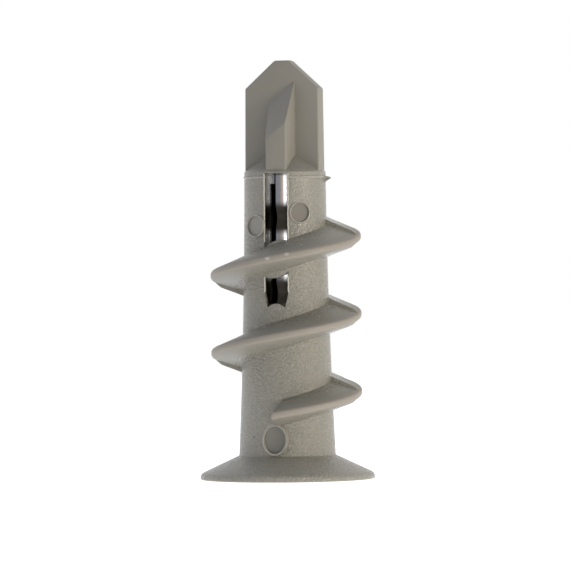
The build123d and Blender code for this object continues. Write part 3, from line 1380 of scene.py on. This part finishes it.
@dataclass
class Softbox:
    """Square area lamp that faces the anchor."""

    side: Side
    tint: str
    watts: float
    size: float
    place: tuple[float, float, float]

    def build(self, aim_height: float) -> None:
        """Adds the lamp.

        Args:
            aim_height: Height on the anchor's axis that it faces.
        """
        lamp = bpy.data.lights.new(f"softbox_{self.side.name.lower()}", "AREA")
        lamp.size = self.size * MM
        lamp.energy = self.watts
        lamp.color = linear(self.tint)[:3]
        holder = new_piece(lamp.name, lamp)
        holder.location = Vector(self.place) * MM
        aim = Vector((0, 0, aim_height)) - Vector(self.place)
        holder.rotation_euler = aim.to_track_quat("-Z", "Y").to_euler()


@dataclass
class Studio:
    """Pale floor, soft light and the camera at the photograph's angle."""

    floor_reach: float = 400.0
    floor_gap: float = 0.02
    floor_colour: str = "#EDEDED"
    floor_light: float = 0.85
    camera_azimuth: float = 14.0
    camera_distance: float = 505.0
    camera_height: float = 22.7
    camera_clip: Pair = (10.0, 10000.0)
    sensor: float = 36.0
    aim_height: float = 19.38
    aim_left: float = 0.1
    roll: float = 0.55
    lens: float = 319.0
    table_glow: float = 1.15
    far_glow: float = 0.4
    table_fade: Pair = (20.0, 100.0)
    light_full: float = 0.9
    room_light: float = 0.02
    backdrop_light: float = 0.8
    side_light: float = 1.0
    ceiling_light: float = 0.5
    room_tint: str = "#FFFAF2"
    ceiling_tint: str = "#E4EEFF"
    softboxes: tuple[Softbox, ...] = (
        Softbox(Side.RIGHT, "#FFF6E6", 0.34, 50.0, (232, -94, 12)),
        Softbox(Side.FRONT, "#FFFFFF", 0.035, 34.0, (118, -382, 22)),
        Softbox(Side.LEFT, "#DDE8FF", 0.17, 120.0, (-230, -70, 230)),
    )

    def directions(self) -> tuple[Vector, Vector]:
        """Gives the directions to the camera's right and towards the camera."""
        right = Matrix.Rotation(math.radians(self.camera_azimuth), 3, "Z") @ Vector((1, 0, 0))
        return right, Vector((right.y, -right.x, 0))

    def seen_share(self, tree: Tree) -> Socket:
        """Gives one for what is seen directly, in a gloss or through glass, and zero for light.

        Args:
            tree: Node tree that gets the nodes.

        Returns:
            The share.
        """
        seen = tree.nodes.new("ShaderNodeLightPath").outputs
        share = add(tree, MATH, seen["Is Camera Ray"], seen["Is Glossy Ray"], operation="ADD")
        return add(tree, MATH, share, seen["Is Transmission Ray"], operation="ADD", use_clamp=True)

    def build_floor(self) -> None:
        """Lays the pale floor that keeps the anchor's shadow, clear when seen from below."""
        mesh = bpy.data.meshes.new("floor")
        reach = self.floor_reach
        corners = [
            Vector((x, y, -self.floor_gap)) * MM for x, y in oblong(-reach, reach, -reach, reach)
        ]
        mesh.from_pydata(corners, [], [(0, 1, 2, 3)])
        floor = new_piece("floor", mesh)
        material, tree, place = new_material("pale_floor")
        tree.nodes.remove(tree.nodes["Principled BSDF"])
        node = partial(add, tree)
        fade = between(*self.table_fade, self.table_glow, self.far_glow)
        seen_glow = node(RAMP, distance(tree, place), inputs=fade)
        glow = {"To Min": seen_glow, "To Max": self.floor_light}
        glow = node(RAMP, self.seen_share(tree), inputs=glow)
        glow = node("ShaderNodeEmission", inputs={"Strength": glow})
        matt = node("ShaderNodeBsdfDiffuse", linear(self.floor_colour))
        both = node("ShaderNodeAddShader", matt, glow)
        below = node("ShaderNodeNewGeometry", output="Backfacing")
        sides = node("ShaderNodeMixShader", below, both, node("ShaderNodeBsdfTransparent"))
        plug(tree, tree.nodes["Material Output"], {"Surface": sides})
        mesh.materials.append(material)

    def build_world(self) -> None:
        """Surrounds the anchor with a white backdrop that also lights it softly.

        The light comes from behind and from the right, while the room in front
        is dim and the ceiling has a cool tint.
        """
        world = bpy.data.worlds.new("studio")
        bpy.context.scene.world = world
        world.use_nodes = True
        tree = world.node_tree
        node = partial(add, tree)
        look = node("ShaderNodeTexCoord", output="Generated")
        right, front = self.directions()
        strength = self.room_light
        # Each direction, with the cosine at which its light starts and its strength
        for towards, start, light in (
            (-front, 0.1, self.backdrop_light),
            (right, 0.2, self.side_light),
            (Vector((0, 0, 1)), 0.0, self.ceiling_light),
        ):
            share = node(VECTOR, look, towards, output="Value", operation="DOT_PRODUCT")
            limits = {"From Min": start, "From Max": self.light_full}
            share = node(RAMP, share, inputs=limits, interpolation_type="SMOOTHSTEP")
            strength = node(MATH, share, light, strength, operation="MULTIPLY_ADD")
        seen = self.seen_share(tree)
        strength = node(RAMP, seen, inputs={"To Min": strength, "To Max": 1.0})
        colour = linear(self.room_tint)
        for part, tint in ((share, self.ceiling_tint), (seen, "#FFFFFF")):
            pair = {"A": colour, "B": linear(tint)}
            colour = node(BLEND, part, inputs=pair, output="Result", data_type="RGBA")
        plug(tree, tree.nodes["Background"], {"Color": colour, "Strength": strength})

    def build_camera(self) -> None:
        """Places the camera where the photograph was taken from."""
        data = bpy.data.cameras.new("camera")
        data.lens = self.lens
        data.sensor_width = self.sensor
        data.clip_start, data.clip_end = [clip * MM for clip in self.camera_clip]
        camera = new_piece("camera", data)
        right, front = self.directions()
        place = front * self.camera_distance + Vector((0, 0, self.camera_height))
        aim = Vector((0, 0, self.aim_height)) - right * self.aim_left
        look = (aim - place).to_track_quat("-Z", "Y")
        camera.rotation_mode = "QUATERNION"
        camera.rotation_quaternion = look @ Quaternion((0, 0, 1), -math.radians(self.roll))
        camera.location = place * MM
        bpy.context.scene.camera = camera

    def build(self) -> None:
        """Builds the floor, the world, the lamps and the camera."""
        bpy.context.scene.view_settings.view_transform = "Standard"
        self.build_floor()
        self.build_world()
        for softbox in self.softboxes:
            softbox.build(self.aim_height)
        self.build_camera()


@dataclass
class Anchor:
    """The anchor: the nylon moulding with its flash, and the steel sleeve in it."""

    nylon: SparkErodedNylon
    flash: TornFlash
    steel: BrightZincPlate

    def build_moulding(self) -> list[Piece]:
        """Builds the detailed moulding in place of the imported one, and its flash.

        Returns:
            The moulding and the flash along each window.
        """
        core = TurnedCore()
        left, right, low = [math.radians(turn) for turn in (-31.8, 34.3, -0.8)]
        # Each mark's last colour is its disc's painted shade
        marks = [
            EjectorMark(left, 25.28, 1.1, 1.0, 0.14, 0.27, "#908B80"),
            EjectorMark(right, 26.6, 0.94, 0.96, 0.14, 0.2, "#6F6A60", 0.1),
            EjectorMark(low, 4.05, 1.13, 1.36, 0.2, 0.4, "#726E65", 0.5, finish_depth=4.6),
        ]
        windows = [
            Window(17.18, 20.5, 0.95, head_slope=0.25),
            Window(23.42, 30.5, 1.25, head_bulge=0.0, foot_slope=0.32),
        ]
        moulding = Moulding(core, CoarseThread(), CrossTip(), marks, windows)
        piece = moulding.build(self.nylon.material(marks))
        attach(piece, BODY)
        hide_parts("anchor_body")
        pieces = [piece]
        torn = self.flash.material()
        spans = {"lower": (18.7, 20.25), "upper": (23.7, 30.5)}
        for window, (name, ends) in zip(windows, spans.items()):
            flash = WindowFlash(window, ends).build(f"{name}_window_flash", core, torn)
            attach(flash, BODY)
            pieces.append(flash)
        return pieces

    def build_sleeve(self) -> Piece:
        """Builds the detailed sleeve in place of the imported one.

        Returns:
            The sleeve.
        """
        sleeve = RolledSleeve().build(self.steel.material())
        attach(sleeve, BODY)
        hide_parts("steel_sleeve")
        return sleeve


def main() -> None:
    """Dresses the anchor, reports its pieces and sets up the studio round it."""
    logging.basicConfig(level=logging.INFO)
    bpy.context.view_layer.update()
    anchor = Anchor(SparkErodedNylon(), TornFlash(), BrightZincPlate())
    for piece in [*anchor.build_moulding(), anchor.build_sleeve()]:
        LOG.info("%s: %d faces", piece.name, len(piece.data.polygons))
    Studio().build()


if __name__ == "__main__":
    main()
